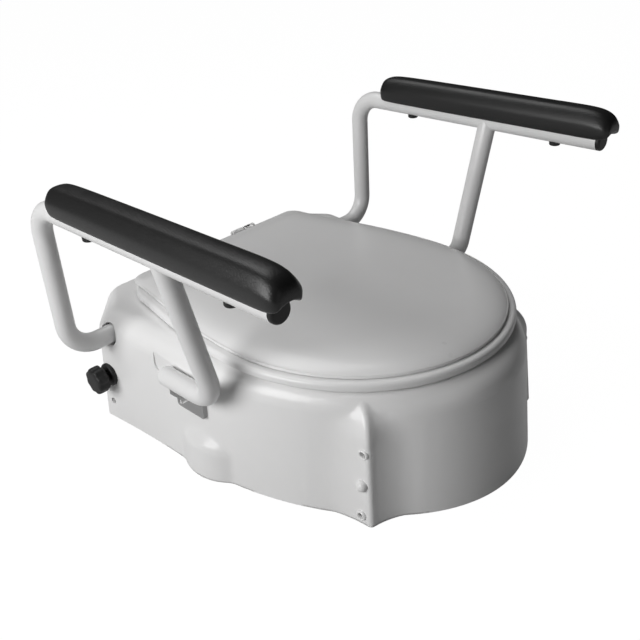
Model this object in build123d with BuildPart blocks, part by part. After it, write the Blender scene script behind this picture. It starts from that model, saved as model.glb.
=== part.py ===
from build123d import *
from math import cos, radians, sin, sqrt, tan
import os

# Raised toilet seat: a moulded housing that stands on the bowl, with a hinged seat
# and lid, two armrests that fold up and back, and adjustable feet for the bowl rim.
# Millimetres. X runs across the seat, -Y is the front, Z is up from the housing's
# lower edge. The origin is under the middle of the housing. Paired pieces are drawn
# on the +X side and mirrored.

# ---------------------------------------------------------------- driving sizes
# housing
body_length = 484.0
body_height = 142.0
body_wall = 4.0
side_half = 202.5            # half width where the front oval begins
side_lean = 9.5              # how far the sides lean in over the full height
corner_half = 210.0          # half width at the rear corners
corner_lean = 8.0
corner_setback = 37.0        # rear corners ahead of the rear edge
rear_half = 160.0            # half of the straight rear edge
front_reach = 303.0          # length of the front oval
front_lean = 12.0
corner_radius_low = 10.0
corner_radius_top = 20.0
shoulder_radius = 25.0
rear_shoulder_share = 0.2    # the rear shoulder is tighter than the sides
shoulder_angles = (0.0, 22.5, 45.0, 67.5, 90.0)

# front ears, which carry the front feet
ear_tip_x = 149.0
ear_tip_y = 64.0             # tip behind the housing's front edge
ear_tip_radius = 5.0
ear_side_run = 62.0          # from the tip back along the side
ear_side_spread = 12.0
ear_side_bow = 3.0
ear_front_run = 41.0         # from the tip across the front
ear_front_drop = 16.0
ear_front_bow = 5.0
ear_root = 44.0
ear_round_low = 92.0         # height where the ear starts to round off
ear_round_middle = 113.0
ear_fade = 134.0             # height where the ear has run into the wall
ear_draft = 0.86             # share of the plan left where the rounding starts
ear_middle_share = 0.79
ear_fade_share = 0.45
ear_hole_pitch = 37.0
ear_hole_low = 10.0
ear_hole_count = 3
ear_hole_y = 77.0            # holes behind the housing's front edge
ear_hole_radius = 3.3
ear_boss_face = 118.0        # flat inner face that the bracket lies on
ear_boss_width = 24.0
ear_boss_height = 98.0

# rounded foot bulges on the sides
bulge_center_y = 24.0
bulge_radius = 60.0
bulge_reach = 211.0
bulge_height = 48.0
bulge_draft = 2.0
bulge_round = 14.0

# openings of the housing and the seat
opening_half = 105.0
opening_front = 132.0
opening_rear = 133.0
opening_center_y = -25.0
deck_opening_margin = 4.0
skirt_wall = 3.0
skirt_depth = 82.0
skirt_taper = 3.0
rib_thick = 3.0
rib_depth = 30.0
rib_share = 0.48             # place of the long ribs in the opening's half width

# seat and lid
oval_center_y = -15.0
seat_half = 179.0
seat_front = 197.0
seat_rear_half = 147.0
seat_rear_setback = 27.0     # rear edge of the seat ahead of the housing's
seat_side_lead = 0.41        # how long the sides keep straight behind the oval, in its length
seat_rear_lead = 0.30        # and ahead of the rear corner
seat_rear_lean = 0.10        # how much the sides draw in at the rear
seat_gap = 1.5
seat_thick = 9.5
seat_round = 4.0
seat_under_round = 2.0
lid_inset = 9.0              # lid edge inside the seat edge at the sides and front
lid_gap = 0.8
lid_thick = 7.0
lid_plate = 3.5
lid_rim = 9.0
lid_crown = 4.0              # rise of the soft shoulder round the top
lid_crown_width = 28.0
lid_rib = 2.5
lid_rib_pitch = 80.0
rear_corner_radius = 48.0
seat_buffer_radius = 10.0
seat_buffer_pocket = 3.0
seat_buffer_places = ((114.0, -95.0), (128.0, 130.0))
lid_buffer_radius = 8.0
lid_buffer_places = ((126.0, -75.0), (120.0, 85.0))
rest_clear = 0.3             # gap between a closed moving piece and its rest

# hinge
hinge_x = 52.0
hinge_setback = 19.0         # axis ahead of the housing's rear edge
hinge_height = 10.5          # axis above the deck
hinge_pin_radius = 2.5
hinge_lug_radius = 4.5
hinge_lug_width = 11.0
hinge_lug_offset = 7.0      # seat lug inside, lid lug outside the hinge middle
hinge_web = 4.0
hinge_ear_radius = 4.5
hinge_ear_width = 6.0
hinge_plate_thick = 3.0
hinge_plate_half = 32.0
hinge_plate_width = 15.0
hinge_side_gap = 0.5
hinge_screw_inset = 6.0
hinge_screw_radius = 2.0
hinge_screw_head = 4.0
hinge_screw_head_thick = 2.0
running_fit = 0.05
fixed_fit = 0.03             # clearance of pieces that are pressed or screwed together

# armrests
tube_radius = 11.0
tube_wall = 1.5
arm_x = 250.0
arm_height = 297.0
arm_reach = 361.0            # rail's end ahead of the pivot
pivot_setback = 62.0         # pivot ahead of the housing's rear edge
pivot_drop = 23.0            # pivot below the deck
pivot_inner_x = 166.0
bend_radius = 34.0
leg_top_reach = 213.0        # places of the leg and foot ahead of the pivot
leg_low_reach = 202.0
foot_end_reach = 119.0
foot_drop = 29.0             # foot below the deck
foot_x = 205.2
foot_bend_radius = 36.0
pivot_fit = 0.08
bush_wall = 2.5
bush_flange = 3.0
bush_flange_wall = 4.0
clip_thick = 4.0
clip_wall = 3.5
cap_radius = 11.0
cap_thick = 5.0
cap_round = 3.0
plug_depth = 12.0

# pads
pad_half = 18.5
pad_front_reach = 377.0      # ends of the pad ahead of the pivot
pad_rear_reach = 50.0
pad_rise = 36.0              # top above the rail's axis
pad_seat = 7.5               # underside above the rail's axis
pad_round = 12.0
pad_under_round = 3.0
nose_length = 40.0           # the front end rounds down over this length
nose_width_share = 0.55      # width and height left at the tip
nose_height_share = 0.60
tail_length = 10.0
tail_width_share = 0.62
tail_height_share = 0.72
end_angles = (0.0, 30.0, 60.0, 90.0)
pad_clear = 0.2
pad_screw_reaches = (95.5, 306.0)
pad_screw_radius = 2.2
pad_screw_head = 6.5
pad_screw_head_thick = 3.5
pad_screw_reach = 18.0       # how far the screw runs into the pad

# side recess for the armrest's foot
recess_back = 193.8          # plane of the recess floor
recess_front_reach = 238.0   # ends of the recess ahead of the pivot
recess_rear_reach = 81.0
recess_drop = 41.5           # its lower edge below the deck
recess_corner = 11.0
notch_front_reach = 165.0
notch_rear_reach = 125.0
notch_drop = 62.0
notch_back = 185.0
notch_corner = 6.0
recess_pad = 4.0             # wall left behind the recess
cradle_front_reach = 128.0
cradle_rear_reach = 108.0
cradle_reach = 211.0
cradle_drop = 62.0
cradle_lip = 4.0
cradle_clear = 0.4

# rear clamps
knob_setback = 53.0          # knob ahead of the housing's rear edge
knob_z = 62.0
knob_hole_pitch = 38.0
stud_radius = 4.0
clamp_face = 190.0           # flat inner face behind the wall
clamp_pad_half = 17.0
clamp_pad_top = 92.0
spot_face_x = 203.0
collar_radius = 14.5
collar_thick = 6.0
knob_neck_radius = 8.0
knob_neck = 5.0
knob_radius = 16.5
knob_thick = 15.0
knob_lobes = 8
knob_flute_radius = 4.0
knob_round = 2.5
stud_inner_x = 172.0

# feet on the bowl rim
bracket_thick = 3.0
foot_level = 47.0            # underside of the feet
foot_pad_thick = 4.0
rear_bracket_top = 76.0
rear_foot_length = 42.0
front_foot_length = 40.0
front_foot_width = 28.0
front_bracket_low = 36.0
front_bracket_top = 60.0
front_bracket_front = 7.0    # plate ahead of the bolt
front_bracket_rear = 47.0    # plate behind the bolt
bracket_corner = 4.0
nut_flat_radius = 6.5
nut_thick = 6.5
bolt_radius = 3.15
bolt_head_radius = 5.0
bolt_head_thick = 4.0
bolt_seat_x = 143.0          # face that the bolt head lies on
bolt_inner_x = 104.0
wing_reach = 15.0
wing_thick = 2.5

# ---------------------------------------------------------------- derived places
front_y = -body_length / 2
rear_y = body_length / 2
oval_y = front_y + front_reach
seat_rear_y = rear_y - seat_rear_setback
hinge_y = rear_y - hinge_setback
knob_y = rear_y - knob_setback
pivot_y = rear_y - pivot_setback
pivot_z = body_height - pivot_drop
arm_front_y = pivot_y - arm_reach
leg_top_y = pivot_y - leg_top_reach
leg_low_y = pivot_y - leg_low_reach
foot_end_y = pivot_y - foot_end_reach
foot_z = body_height - foot_drop
pad_front_y = pivot_y - pad_front_reach
pad_rear_y = pivot_y - pad_rear_reach
pad_top = arm_height + pad_rise
pad_bottom = arm_height + pad_seat
recess_front_y = pivot_y - recess_front_reach
recess_rear_y = pivot_y - recess_rear_reach
recess_low = body_height - recess_drop
notch_front_y = pivot_y - notch_front_reach
notch_rear_y = pivot_y - notch_rear_reach
notch_low = body_height - notch_drop
cradle_front_y = pivot_y - cradle_front_reach
cradle_rear_y = pivot_y - cradle_rear_reach
cradle_low = body_height - cradle_drop
seat_low = body_height + seat_gap
seat_top = seat_low + seat_thick
lid_low = seat_top + lid_gap
lid_top = lid_low + lid_thick
hinge_z = body_height + hinge_height
hinge_plate_top = body_height + hinge_plate_thick
hinge_screws = (hinge_x - hinge_plate_half + hinge_screw_inset,
                hinge_x + hinge_plate_half - hinge_screw_inset)
seat_lug_x = hinge_x - hinge_lug_offset
lid_lug_x = hinge_x + hinge_lug_offset
hinge_ear_offset = hinge_lug_offset + (hinge_lug_width + hinge_ear_width) / 2 + hinge_side_gap
tube_bore = tube_radius - tube_wall
ear_y = front_y + ear_tip_y
ear_bolt_y = front_y + ear_hole_y
ear_holes = [ear_hole_low + ear_hole_pitch * step for step in range(ear_hole_count)]
front_bolt_z = ear_holes[1]
bush_outer = tube_radius + pivot_fit + bush_wall
boss_inner_x = pivot_inner_x + clip_thick + rest_clear + bush_flange
spread_x = 2 * corner_half   # longer than any cut across one side

os.makedirs("parts", exist_ok=True)


def save(piece, name):
    piece.part.label = name
    export_step(piece.part, f"parts/{name}.step")


def save_pair(piece, name):
    """Write a piece drawn on the +X side and its mirror image."""
    save(piece, name + "_left")
    with BuildPart() as twin:
        add(piece.part)
        mirror(about=Plane.YZ, mode=Mode.REPLACE)
    save(twin, name + "_right")


# ---------------------------------------------------------------- housing outline
def housing_outline(height, wall=0.0, step_in=0.0):
    """Plan of the housing at a height, inside the skin by a wall and a shoulder step."""
    share = height / body_height
    side = side_half - side_lean * share - wall - step_in
    corner = corner_half - corner_lean * share - wall - step_in
    rear = rear_y - wall - step_in * rear_shoulder_share
    corner_y = rear_y - corner_setback - corner_lean * share - (wall + step_in) / 2
    rear_x = rear_half - (wall + step_in) / 2
    reach = front_reach - front_lean * share - wall - step_in
    radius = corner_radius_low + (corner_radius_top - corner_radius_low) * share
    radius = max(radius - wall, body_wall)
    with BuildSketch(Plane.XY.offset(height)) as outline:
        with BuildLine():
            EllipticalCenterArc((0, oval_y), side, reach, start_angle=180, arc_size=180)
            TangentArc((side, oval_y), (corner, corner_y), tangent=(0, 1))
            Polyline((corner, corner_y), (rear_x, rear), (-rear_x, rear), (-corner, corner_y))
            TangentArc((-side, oval_y), (-corner, corner_y), tangent=(0, 1))
        make_face()
        fillet(outline.vertices().filter_by(lambda point: point.Y > corner_y - 1), radius)
    return outline.sketch


def housing_form(wall, angles):
    """Drafted wall and rounded shoulder of the housing, closed top and bottom."""
    wall_top = body_height - shoulder_radius
    curve = shoulder_radius - wall
    rings = []
    for angle in angles:
        rise = curve * sin(radians(angle))
        step_in = curve * (1 - cos(radians(angle)))
        rings.append(housing_outline(wall_top + rise, wall, step_in))
    with BuildPart() as form:
        loft(sections=[housing_outline(0, wall), rings[0]], ruled=True)
        loft(sections=rings, ruled=wall > 0)
    return form.part


def wall_x(y, height):
    """Half width of the housing's side at a place behind the front oval."""
    share = height / body_height
    side = side_half - side_lean * share
    corner = corner_half - corner_lean * share
    run = rear_y - corner_setback - corner_lean * share - oval_y
    arc_radius = (run ** 2 + (corner - side) ** 2) / (2 * (corner - side))
    return side + arc_radius - sqrt(arc_radius ** 2 - (y - oval_y) ** 2)


def oval(margin, height):
    """Plan of the seat's opening, widened by a margin: two half ellipses."""
    with BuildSketch(Plane.XY.offset(height)) as egg:
        with BuildLine():
            EllipticalCenterArc((0, opening_center_y), opening_half + margin, opening_front + margin,
                                start_angle=180, arc_size=180)
            EllipticalCenterArc((0, opening_center_y), opening_half + margin, opening_rear + margin,
                                start_angle=0, arc_size=180)
        make_face()
    return egg.sketch


def funnel(margin):
    """Tapered form of the splash skirt, from its lower edge to the deck."""
    skirt_low = body_height - body_wall - skirt_depth
    taper = skirt_depth * tan(radians(skirt_taper))
    with BuildPart() as form:
        loft(sections=[oval(margin - taper, skirt_low), oval(margin, body_height)], ruled=True)
    return form.part


def seat_plan(inset, height, step_in=0.0):
    """Plan of the seat, and of the lid with an inset: an oval with a square rear, stepped in all round."""
    half = seat_half - inset - step_in
    rear_x = seat_rear_half - inset - step_in
    rear = seat_rear_y - step_in
    side_run = rear - oval_center_y
    lead_y = oval_center_y + seat_side_lead * side_run
    lean_x = rear_x + seat_rear_lean * seat_rear_lead * side_run
    lean_y = rear - seat_rear_lead * side_run
    with BuildSketch(Plane.XY.offset(height)) as plan:
        with BuildLine():
            EllipticalCenterArc((0, oval_center_y), half, seat_front - inset - step_in,
                                start_angle=180, arc_size=180)
            Bezier((half, oval_center_y), (half, lead_y), (lean_x, lean_y), (rear_x, rear))
            Line((rear_x, rear), (-rear_x, rear))
            Bezier((-half, oval_center_y), (-half, lead_y), (-lean_x, lean_y), (-rear_x, rear))
        make_face()
        fillet(plan.vertices().group_by(Axis.Y)[-1], rear_corner_radius)
    return plan.sketch


def cross_bar(radius, start_x, end_x, y, height):
    """Round bar along X between two places on one side."""
    with BuildPart() as bar:
        with BuildSketch(Plane.YZ.offset(start_x)):
            with Locations((y, height)):
                Circle(radius)
        extrude(amount=end_x - start_x)
    return bar.part


# ---------------------------------------------------------------- housing
def ear_sketch(height, share):
    """Plan of a front ear, drawn in towards its root in the wall by a share."""
    root_x = ear_tip_x - ear_root
    root_y = ear_y + ear_root + ear_tip_radius
    outline = [(ear_tip_x + ear_side_spread, ear_y + ear_side_run),
               (ear_tip_x + ear_side_bow, ear_y + ear_side_run / 2),
               (ear_tip_x, ear_y),
               (ear_tip_x - ear_front_run / 2, ear_y - ear_front_bow),
               (ear_tip_x - ear_front_run, ear_y - ear_front_drop)]
    side, side_middle, tip, front_middle, front = [
        (root_x + share * (x - root_x), root_y + share * (y - root_y)) for x, y in outline]
    with BuildSketch(Plane.XY.offset(height)) as plan:
        with BuildLine():
            ThreePointArc(side, side_middle, tip)
            ThreePointArc(tip, front_middle, front)
            Polyline(front, (root_x, root_y), side)
        make_face()
        fillet(plan.vertices().sort_by_distance((tip[0], tip[1], height))[0], ear_tip_radius)
    return plan.sketch


with BuildPart() as ear:
    ear_rounding = [ear_sketch(ear_round_low, ear_draft),
                    ear_sketch(ear_round_middle, ear_middle_share),
                    ear_sketch(ear_fade, ear_fade_share)]
    loft(sections=[ear_sketch(0, 1.0), ear_rounding[0]], ruled=True)
    loft(sections=ear_rounding)

with BuildPart() as bulge:
    bulge_axis_x = bulge_reach - bulge_radius
    bulge_shoulder = (bulge_reach - bulge_draft, bulge_height - bulge_round)
    bulge_rim = (bulge_reach - bulge_draft - bulge_round, bulge_height)
    with BuildSketch(Plane.XZ.offset(-bulge_center_y)):
        with BuildLine():
            Line((bulge_reach, 0), bulge_shoulder)
            TangentArc(bulge_shoulder, bulge_rim, tangent=(0, 1))
            Polyline(bulge_rim, (bulge_axis_x, bulge_height), (bulge_axis_x, 0), (bulge_reach, 0))
        make_face()
    revolve(axis=Axis((bulge_axis_x, bulge_center_y, 0), (0, 0, 1)))

# the space under the deck, with the skirt, ribs and bosses left standing in it
with BuildPart() as cavity:
    add(housing_form(body_wall, shoulder_angles[::2]))
    add(funnel(deck_opening_margin + skirt_wall), mode=Mode.SUBTRACT)
    rib_middle_z = body_height - body_wall - rib_depth / 2
    rib_start = opening_half + deck_opening_margin
    with Locations((rib_start + corner_half / 2, opening_center_y, rib_middle_z),
                   (-rib_start - corner_half / 2, opening_center_y, rib_middle_z)):
        Box(corner_half, rib_thick, rib_depth, mode=Mode.SUBTRACT)
    rib_length = body_length - 2 * (opening_front + deck_opening_margin) * sqrt(1 - rib_share ** 2)
    for rib_x in (-opening_half * rib_share, opening_half * rib_share):
        with Locations((rib_x, opening_center_y - body_length / 2, rib_middle_z),
                       (rib_x, opening_center_y + body_length / 2, rib_middle_z)):
            Box(rib_thick, rib_length, rib_depth, mode=Mode.SUBTRACT)
    with BuildSketch(Plane.XY):
        with Locations((ear_boss_face + corner_half / 2, ear_bolt_y),
                       (-ear_boss_face - corner_half / 2, ear_bolt_y)):
            Rectangle(corner_half, ear_boss_width)
    extrude(amount=ear_boss_height, mode=Mode.SUBTRACT)
    with BuildSketch(Plane.XY):
        with Locations((clamp_face + corner_half / 2, knob_y), (-clamp_face - corner_half / 2, knob_y)):
            Rectangle(corner_half, 2 * clamp_pad_half)
    extrude(amount=clamp_pad_top, mode=Mode.SUBTRACT)
    with BuildSketch(Plane.XY.offset(notch_low - recess_pad)):
        for side in (1, -1):
            with Locations((side * (notch_back - recess_pad + corner_half / 2),
                            (recess_front_y + recess_rear_y) / 2)):
                Rectangle(corner_half, recess_rear_y - recess_front_y + 2 * recess_pad)
    extrude(amount=body_height, mode=Mode.SUBTRACT)
    add(cross_bar(bush_outer + body_wall, boss_inner_x, spread_x, pivot_y, pivot_z), mode=Mode.SUBTRACT)
    add(cross_bar(bush_outer + body_wall, -boss_inner_x, -spread_x, pivot_y, pivot_z), mode=Mode.SUBTRACT)

# the recess in the side wall that the armrest's foot folds into
with BuildPart() as recess:
    with BuildSketch(Plane.YZ.offset(recess_back)) as slot:
        with Locations(((recess_front_y + recess_rear_y) / 2, recess_low + body_height / 2)):
            Rectangle(recess_rear_y - recess_front_y, body_height)
        fillet(slot.vertices().group_by(Axis.Z)[0], recess_corner)
    extrude(amount=corner_half)
    with BuildSketch(Plane.YZ.offset(notch_back)) as notch:
        with Locations(((notch_front_y + notch_rear_y) / 2, (notch_low + recess_low) / 2)):
            Rectangle(notch_rear_y - notch_front_y, recess_low - notch_low + 2 * notch_corner)
        fillet(notch.vertices(), notch_corner)
    extrude(amount=corner_half)

# the cradle under the foot
with BuildPart() as cradle:
    cradle_root = recess_back - recess_pad
    cradle_top = foot_z - tube_radius / 2
    with BuildSketch(Plane.XZ.offset(-cradle_rear_y)):
        Polygon((cradle_root, cradle_low), (wall_x(cradle_rear_y, cradle_low), cradle_low),
                (cradle_reach, recess_low - cradle_lip), (cradle_reach, cradle_top),
                (cradle_root, cradle_top), align=None)
    extrude(amount=cradle_rear_y - cradle_front_y)
    with BuildSketch(Plane.XZ.offset(-cradle_rear_y)):
        with Locations((foot_x, foot_z)):
            Circle(tube_radius + cradle_clear)
    extrude(amount=cradle_rear_y - cradle_front_y, mode=Mode.SUBTRACT)

# holes and facings on one side
with BuildPart() as side_holes:
    for hole_z in ear_holes:
        add(cross_bar(ear_hole_radius, 0, spread_x, ear_bolt_y, hole_z))
    add(cross_bar(bolt_head_radius + body_wall / 2, bolt_seat_x, spread_x, ear_bolt_y, front_bolt_z))
    for hole_z in (knob_z, knob_z - knob_hole_pitch):
        add(cross_bar(stud_radius + running_fit, pivot_inner_x, spread_x, knob_y, hole_z))
    add(cross_bar(collar_radius + fixed_fit, spot_face_x, spread_x, knob_y, knob_z))
    add(cross_bar(bush_outer + fixed_fit, pivot_inner_x, spread_x, pivot_y, pivot_z))
    for screw_x in hinge_screws:
        with Locations((screw_x, hinge_y, body_height)):
            Cylinder(hinge_screw_radius + fixed_fit, 4 * body_wall)

with BuildPart() as base_shell:
    add(housing_form(0, shoulder_angles))
    add(ear.part)
    add(bulge.part)
    mirror(about=Plane.YZ)
    add(cavity.part, mode=Mode.SUBTRACT)
    for mirrored in (False, True):
        for cut, kept in ((recess, cradle), (side_holes, None)):
            add(mirror(cut.part, about=Plane.YZ, mode=Mode.PRIVATE) if mirrored else cut.part,
                mode=Mode.SUBTRACT)
            if kept:
                add(mirror(kept.part, about=Plane.YZ, mode=Mode.PRIVATE) if mirrored else kept.part)
    add(funnel(deck_opening_margin), mode=Mode.SUBTRACT)
save(base_shell, "base_shell")


# ---------------------------------------------------------------- seat and lid
def lug(middle_x, web_low):
    """Hinge lug about the pin, with a web that runs forward into the seat or lid."""
    web_front = seat_rear_y - seat_round
    with BuildPart() as piece:
        with BuildSketch(Plane.YZ.offset(middle_x - hinge_lug_width / 2)):
            with Locations((hinge_y, hinge_z)):
                Circle(hinge_lug_radius)
            with Locations(((web_front + hinge_y) / 2, web_low + hinge_web / 2)):
                Rectangle(hinge_y - web_front, hinge_web)
            with Locations((hinge_y, hinge_z)):
                Circle(hinge_pin_radius + running_fit, mode=Mode.SUBTRACT)
        extrude(amount=hinge_lug_width)
    return piece.part


def buffers(places, radius, low, high):
    """Round rubber buffers at places on both sides."""
    with BuildPart() as piece:
        with BuildSketch(Plane.XY.offset(low)):
            with Locations(*[(side * x, y) for x, y in places for side in (1, -1)]):
                Circle(radius)
        extrude(amount=high - low)
    return piece


with BuildPart() as seat_ring:
    add(seat_plan(0.0, seat_low))
    extrude(amount=seat_thick)
    fillet(seat_ring.faces().sort_by(Axis.Z)[-1].edges(), seat_round)
    fillet(seat_ring.faces().sort_by(Axis.Z)[0].edges(), seat_under_round)
    add(oval(0.0, seat_low))
    extrude(amount=seat_thick, mode=Mode.SUBTRACT)
    aperture = seat_ring.faces().sort_by(Axis.Z)[-1].inner_wires()[0]
    fillet(aperture.edges(), seat_round)
    for lug_x in (seat_lug_x, -seat_lug_x):
        add(lug(lug_x, seat_top - hinge_web))
    pockets = buffers(seat_buffer_places, seat_buffer_radius + fixed_fit,
                      seat_low, seat_low + seat_buffer_pocket)
    add(pockets.part, mode=Mode.SUBTRACT)
save(seat_ring, "seat_ring")
save(buffers(seat_buffer_places, seat_buffer_radius, body_height + rest_clear,
             seat_low + seat_buffer_pocket), "seat_buffers")

# the hollow under the lid, with its cross ribs left standing
with BuildPart() as lid_hollow:
    add(seat_plan(lid_inset, lid_low, lid_rim))
    extrude(amount=lid_thick - lid_plate)
    with Locations((0, oval_center_y, lid_low)):
        with GridLocations(0, lid_rib_pitch, 1, 4):
            Box(2 * seat_half, lid_rib, lid_thick, mode=Mode.SUBTRACT)

with BuildPart() as lid:
    lid_edge = lid_top - lid_crown
    add(seat_plan(lid_inset, lid_low))
    extrude(amount=lid_edge - lid_low)
    loft(sections=[seat_plan(lid_inset, lid_edge + lid_crown * sin(radians(angle)),
                             lid_crown_width * (1 - cos(radians(angle)))) for angle in shoulder_angles])
    add(lid_hollow.part, mode=Mode.SUBTRACT)
    for lug_x in (lid_lug_x, -lid_lug_x):
        add(lug(lug_x, lid_low))
save(lid, "lid")
save(buffers(lid_buffer_places, lid_buffer_radius, seat_top + rest_clear, lid_top - lid_plate), "lid_buffers")

# ---------------------------------------------------------------- hinge
with BuildPart() as hinge_block:
    with BuildSketch(Plane.XY.offset(body_height)):
        with Locations((hinge_x, hinge_y)):
            RectangleRounded(2 * hinge_plate_half, hinge_plate_width, bracket_corner)
    extrude(amount=hinge_plate_thick)
    for ear_x in (hinge_x - hinge_ear_offset, hinge_x + hinge_ear_offset):
        with BuildSketch(Plane.YZ.offset(ear_x - hinge_ear_width / 2)):
            with Locations((hinge_y, hinge_z)):
                Circle(hinge_ear_radius)
            with Locations((hinge_y, (body_height + hinge_z) / 2)):
                Rectangle(2 * hinge_ear_radius, hinge_height)
        extrude(amount=hinge_ear_width)
    add(cross_bar(hinge_pin_radius + fixed_fit, 0, spread_x, hinge_y, hinge_z), mode=Mode.SUBTRACT)
    with Locations(*[(screw_x, hinge_y, body_height) for screw_x in hinge_screws]):
        Cylinder(hinge_screw_radius + fixed_fit, 4 * hinge_plate_thick, mode=Mode.SUBTRACT)
save_pair(hinge_block, "hinge_block")

with BuildPart() as hinge_pin:
    pin_half = hinge_ear_offset + hinge_ear_width / 2
    add(cross_bar(hinge_pin_radius, hinge_x - pin_half, hinge_x + pin_half, hinge_y, hinge_z))
save_pair(hinge_pin, "hinge_pin")

with BuildPart() as hinge_screw_set:
    with BuildSketch(Plane.XY.offset(hinge_plate_top)):
        with Locations(*[(screw_x, hinge_y) for screw_x in hinge_screws]):
            Circle(hinge_screw_head)
    extrude(amount=hinge_screw_head_thick)
    fillet(hinge_screw_set.faces().group_by(Axis.Z)[-1].edges(), hinge_screw_head_thick / 2)
    with BuildSketch(Plane.XY.offset(body_height - body_wall - nut_thick)):
        with Locations(*[(screw_x, hinge_y) for screw_x in hinge_screws]):
            Circle(hinge_screw_radius)
    extrude(until=Until.NEXT)
save_pair(hinge_screw_set, "hinge_screws")

with BuildPart() as hinge_nut_set:
    with BuildSketch(Plane.XY.offset(body_height - body_wall - nut_thick)):
        with Locations(*[(screw_x, hinge_y) for screw_x in hinge_screws]):
            RegularPolygon(nut_flat_radius, 6, major_radius=False)
            Circle(hinge_screw_radius + fixed_fit, mode=Mode.SUBTRACT)
    extrude(amount=nut_thick)
save_pair(hinge_nut_set, "hinge_nuts")


# ---------------------------------------------------------------- armrests
def tube(points, radius):
    """Bent round tube along a route of straight stretches."""
    with BuildPart() as piece:
        with BuildLine() as route:
            FilletPolyline(*points, radius=radius)
        with BuildSketch(Plane(origin=points[0], z_dir=Vector(*points[1]) - Vector(*points[0]))):
            Circle(tube_radius)
            Circle(tube_bore, mode=Mode.SUBTRACT)
        sweep(path=route.wires()[0])
    return piece


def end_cap(radius, thick):
    """Plug and rounded head for a tube end; the head looks along +Z."""
    with BuildPart() as piece:
        Cylinder(radius, thick, align=(Align.CENTER, Align.CENTER, Align.MIN))
        fillet(piece.faces().sort_by(Axis.Z)[-1].edges(), cap_round)
        Cylinder(tube_bore - fixed_fit, plug_depth, align=(Align.CENTER, Align.CENTER, Align.MAX))
    return piece.part


pad_screw_places = [pivot_y - reach for reach in pad_screw_reaches]
arm_low_z = arm_height - tube_radius
with BuildPart() as pad_screw_holes:
    with BuildSketch(Plane.XY.offset(arm_low_z - pad_screw_head_thick)):
        with Locations(*[(arm_x, screw_y) for screw_y in pad_screw_places]):
            Circle(pad_screw_radius + fixed_fit)
    extrude(amount=pad_top - arm_low_z)

with BuildPart() as armrest_frame:
    add(tube([(pivot_inner_x, pivot_y, pivot_z), (arm_x, pivot_y, pivot_z),
              (arm_x, pivot_y, arm_height), (arm_x, arm_front_y, arm_height)], bend_radius).part)
    add(pad_screw_holes.part, mode=Mode.SUBTRACT)
save_pair(armrest_frame, "armrest_frame")

with BuildPart() as rail_solid:
    with BuildSketch(Plane.XZ.offset(-pivot_y)):
        with Locations((arm_x, arm_height)):
            Circle(tube_radius + fixed_fit)
    extrude(amount=pivot_y - arm_front_y)

with BuildPart() as armrest_leg:
    add(tube([(arm_x, leg_top_y, arm_height), (foot_x, leg_low_y, foot_z),
              (foot_x, foot_end_y, foot_z)], foot_bend_radius).part)
    add(rail_solid.part, mode=Mode.SUBTRACT)
save_pair(armrest_leg, "armrest_leg")

with BuildPart() as foot_plug:
    add(Plane(origin=(foot_x, foot_end_y, foot_z), z_dir=(0, 1, 0)) * end_cap(tube_radius, cap_thick))
save_pair(foot_plug, "foot_plug")

with BuildPart() as rail_end_cap:
    add(Plane(origin=(arm_x, arm_front_y, arm_height), z_dir=(0, -1, 0)) * end_cap(cap_radius, cap_thick))
save_pair(rail_end_cap, "rail_end_cap")


def pad_section(place_y, width_share, height_share):
    """Section across the pad, rounded on top, with its lower edge at the same height."""
    half = pad_half * width_share
    height = (pad_top - pad_bottom) * height_share
    with BuildSketch(Plane.XZ.offset(-place_y)) as section:
        with Locations((arm_x, pad_bottom + height / 2)):
            Rectangle(2 * half, height)
        fillet(section.vertices().group_by(Axis.Y)[-1], min(pad_round, half - pad_under_round))
        fillet(section.vertices().group_by(Axis.Y)[0], pad_under_round)
    return section.sketch


def pad_end(tip_y, length, width_share, height_share):
    """Sections that round an end of the pad, from its tip to its full size."""
    return [pad_section(tip_y + length * (1 - cos(radians(angle))),
                        width_share + (1 - width_share) * sin(radians(angle)),
                        height_share + (1 - height_share) * sin(radians(angle))) for angle in end_angles]


with BuildPart() as armrest_pad:
    nose = pad_end(pad_front_y, nose_length, nose_width_share, nose_height_share)
    tail = pad_end(pad_rear_y, -tail_length, tail_width_share, tail_height_share)
    loft(sections=nose)
    loft(sections=[nose[-1], tail[-1]], ruled=True)
    loft(sections=tail[::-1])
    with BuildSketch(Plane.XZ.offset(-pad_rear_y)):
        with Locations((arm_x, arm_height)):
            Circle(tube_radius + pad_clear)
    extrude(amount=pad_rear_y - arm_front_y + cap_thick + pad_clear, mode=Mode.SUBTRACT)
    add(pad_screw_holes.part, mode=Mode.SUBTRACT)
save_pair(armrest_pad, "armrest_pad")

with BuildPart() as pad_screw_set:
    with BuildSketch(Plane.XY.offset(arm_low_z - pad_screw_head_thick)):
        with Locations(*[(arm_x, screw_y) for screw_y in pad_screw_places]):
            Circle(pad_screw_head)
    extrude(amount=pad_screw_head_thick + tube_wall)
    fillet(pad_screw_set.faces().group_by(Axis.Z)[0].edges(), pad_screw_head_thick / 2)
    add(rail_solid.part, mode=Mode.SUBTRACT)
    with BuildSketch(Plane.XY.offset(arm_low_z - tube_wall)):
        with Locations(*[(arm_x, screw_y) for screw_y in pad_screw_places]):
            Circle(pad_screw_radius)
    extrude(amount=2 * tube_radius + pad_screw_reach)
save_pair(pad_screw_set, "pad_screws")

with BuildPart() as pivot_bush:
    add(cross_bar(bush_outer, boss_inner_x, side_half - side_lean, pivot_y, pivot_z))
    add(cross_bar(bush_outer + bush_flange_wall, boss_inner_x - bush_flange, boss_inner_x, pivot_y, pivot_z))
    add(cross_bar(tube_radius + pivot_fit, 0, spread_x, pivot_y, pivot_z), mode=Mode.SUBTRACT)
save_pair(pivot_bush, "pivot_bush")

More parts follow.
